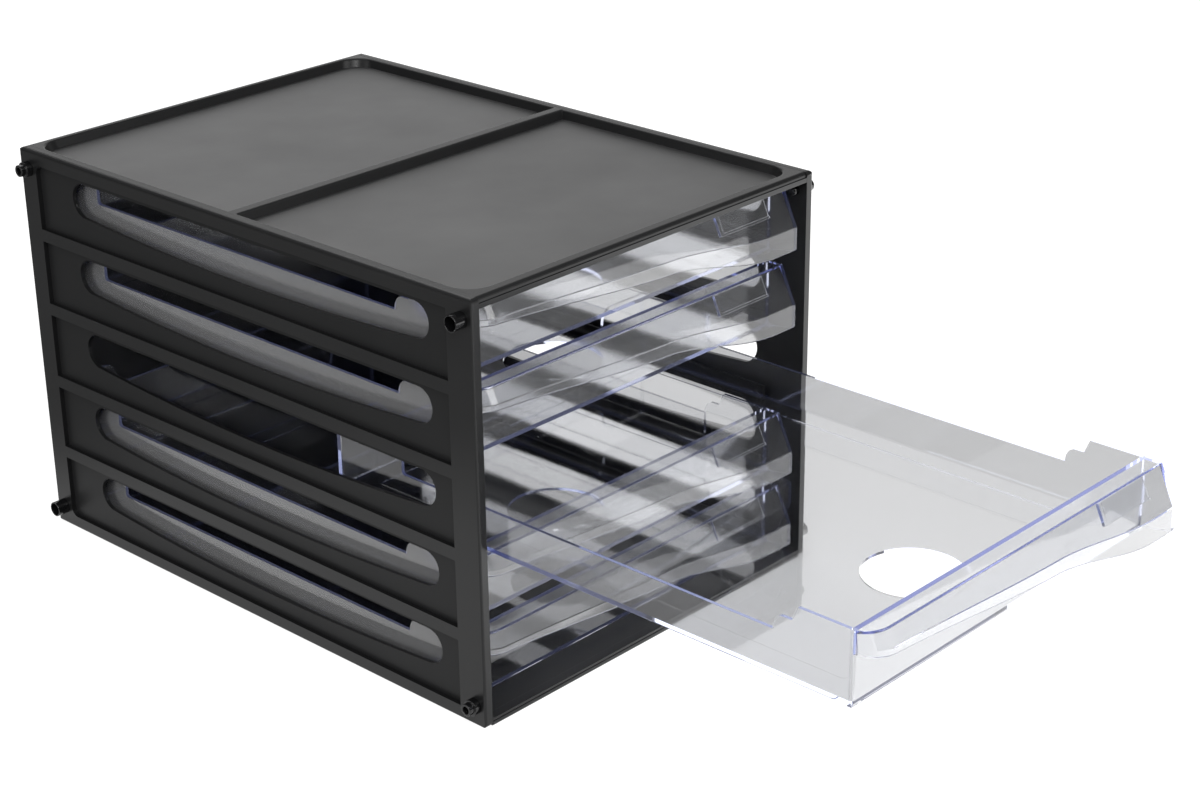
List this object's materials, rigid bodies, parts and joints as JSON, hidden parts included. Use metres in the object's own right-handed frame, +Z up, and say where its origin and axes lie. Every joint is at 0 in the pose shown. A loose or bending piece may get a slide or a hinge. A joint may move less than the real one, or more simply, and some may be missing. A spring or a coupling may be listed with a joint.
{
  "type": "plastic drawer tower",
  "caption": "Desktop document tower: satin black knock-down casing with slotted sides and a tray top, and clear slide-out drawers with wave-edged pulls and label holders.",
  "frame": {"origin": "centre of the casing's footprint, on the underside of the bottom panel", "axes": "+Z up, +X to the right when facing the drawers, drawers open towards -Y"},
  "size_m": [0.296, 0.6541, 0.2532],
  "materials": {
    "satin_black_casing": "satin moulded, fine grain",
    "gloss_black_pin": "gloss moulded",
    "clear_drawer": "clear polystyrene with bluish edges",
    "clear_label_holder": "clear polystyrene"
  },
  "bodies": {
    "casing": {"side_panel_left": "satin_black_casing", "side_panel_right": "satin_black_casing", "top_panel": "satin_black_casing", "bottom_panel": "satin_black_casing", "back_panel": "satin_black_casing", "sleeve_left_top_front": "gloss_black_pin", "sleeve_left_bottom_back": "gloss_black_pin", "sleeve_right_bottom_front": "gloss_black_pin", "sleeve_right_top_back": "gloss_black_pin", "plug_left_bottom_front": "gloss_black_pin", "plug_left_top_back": "gloss_black_pin", "plug_right_top_front": "gloss_black_pin", "plug_right_bottom_back": "gloss_black_pin"},
    "drawer_body_1": {"drawer_1": "clear_drawer", "label_holder_1": "clear_label_holder"},
    "drawer_body_2": {"drawer_2": "clear_drawer", "label_holder_2": "clear_label_holder"},
    "drawer_body_3": {"drawer_3": "clear_drawer", "label_holder_3": "clear_label_holder"},
    "drawer_body_4": {"drawer_4": "clear_drawer", "label_holder_4": "clear_label_holder"},
    "drawer_body_5": {"drawer_5": "clear_drawer", "label_holder_5": "clear_label_holder"}
  },
  "joints": [
    {"name": "drawer_1_slide", "type": "slide", "parent": "casing", "child": "drawer_body_1", "axis": [0, -1, 0], "range_m": [0, 0.3]},
    {"name": "drawer_2_slide", "type": "slide", "parent": "casing", "child": "drawer_body_2", "axis": [0, -1, 0], "range_m": [0, 0.3]},
    {"name": "drawer_3_slide", "type": "slide", "parent": "casing", "child": "drawer_body_3", "axis": [0, -1, 0], "range_m": [-0.262, 0.038]},
    {"name": "drawer_4_slide", "type": "slide", "parent": "casing", "child": "drawer_body_4", "axis": [0, -1, 0], "range_m": [0, 0.3]},
    {"name": "drawer_5_slide", "type": "slide", "parent": "casing", "child": "drawer_body_5", "axis": [0, -1, 0], "range_m": [0, 0.3]}
  ]
}
